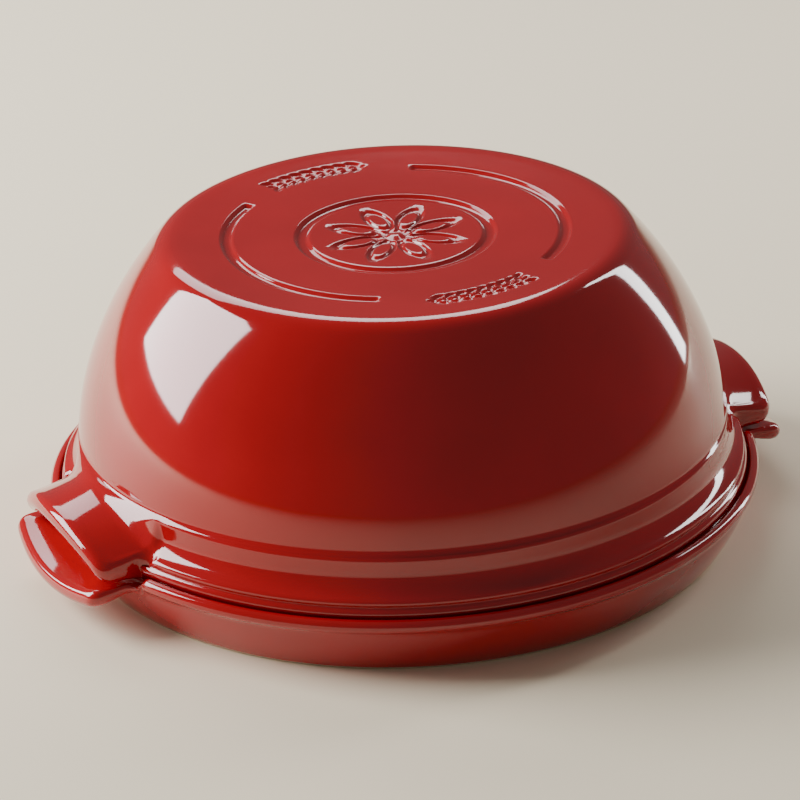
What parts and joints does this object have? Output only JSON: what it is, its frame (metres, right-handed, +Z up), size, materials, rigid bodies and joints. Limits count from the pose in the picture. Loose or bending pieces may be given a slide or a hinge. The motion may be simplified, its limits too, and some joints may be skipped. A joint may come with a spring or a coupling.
{
  "type": "bread cloche",
  "caption": "Glazed ceramic bread cloche: a round baking plate with side handles and a deep lift-off lid with arched handles that seats inside the plate's lip.",
  "frame": {"origin": "on the supporting surface at the centre of the plate's foot", "axes": "+Z up through the middle of the lid, +X through the handles"},
  "size_m": [0.3322, 0.3, 0.1323],
  "materials": {
    "plate_glaze": "gloss",
    "lid_glaze": "gloss"
  },
  "bodies": {
    "plate": {"plate": "plate_glaze"},
    "lid": {"lid": "lid_glaze"}
  },
  "joints": [
    {"name": "lid_lift", "type": "slide", "parent": "plate", "child": "lid", "axis": [0, 0, 1], "range_m": [0, 0.2]}
  ]
}
